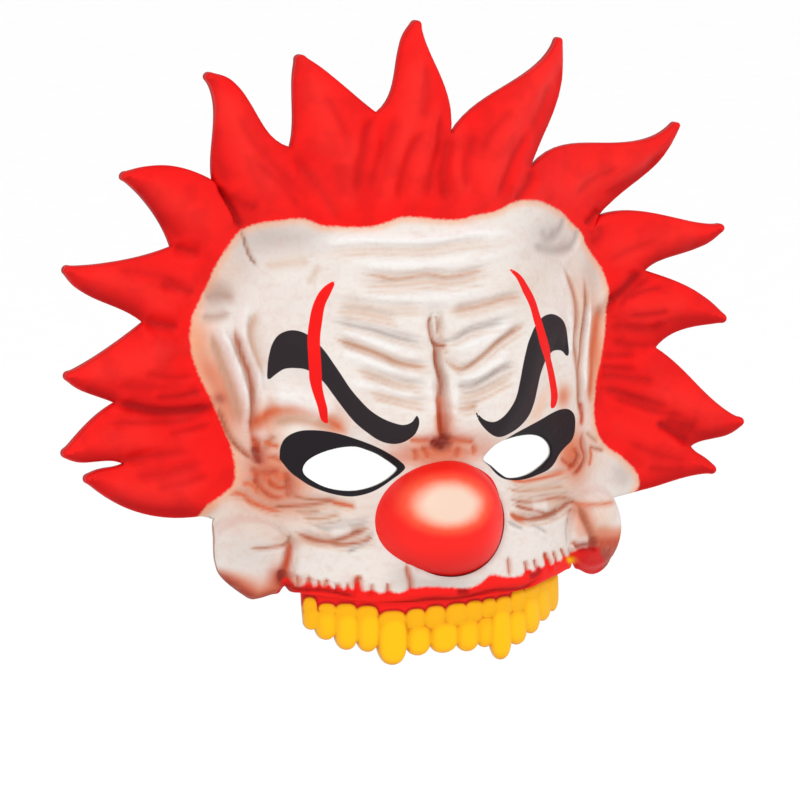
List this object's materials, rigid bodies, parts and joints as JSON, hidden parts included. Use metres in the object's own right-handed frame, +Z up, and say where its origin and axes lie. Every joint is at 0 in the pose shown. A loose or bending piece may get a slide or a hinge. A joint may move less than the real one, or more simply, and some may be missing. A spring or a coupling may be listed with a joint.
{
  "type": "clown half mask",
  "caption": "Foam half mask of a scowling clown with flame shaped hair, a round hollow nose, eye holes, a strip of teeth below the lip and an elastic strap.",
  "frame": {"origin": "inner face of the forehead on the midline, where the mask rests on the wearer's brow", "axes": "+Z up, the mask faces -Y, +X towards the wearer's left"},
  "size_m": [0.2923, 0.2206, 0.2624],
  "materials": {
    "face_print": "off-white print with fine pile on moulded foam, matt",
    "hair_print": "bright red print on moulded foam, matt",
    "nose_print": "red print with a cream highlight on moulded foam, matt",
    "teeth_print": "yellow print on moulded foam, matt",
    "elastic": "black woven elastic band",
    "patch": "plain white felt patch"
  },
  "bodies": {
    "root": {"face_sheet": "face_print", "hair_crown": "hair_print", "hair_wing_right": "hair_print", "hair_wing_left": "hair_print", "nose_ball": "nose_print", "teeth_strip": "teeth_print", "elastic_strap": "elastic", "strap_patch_right": "patch", "strap_patch_left": "patch"}
  },
  "joints": []
}
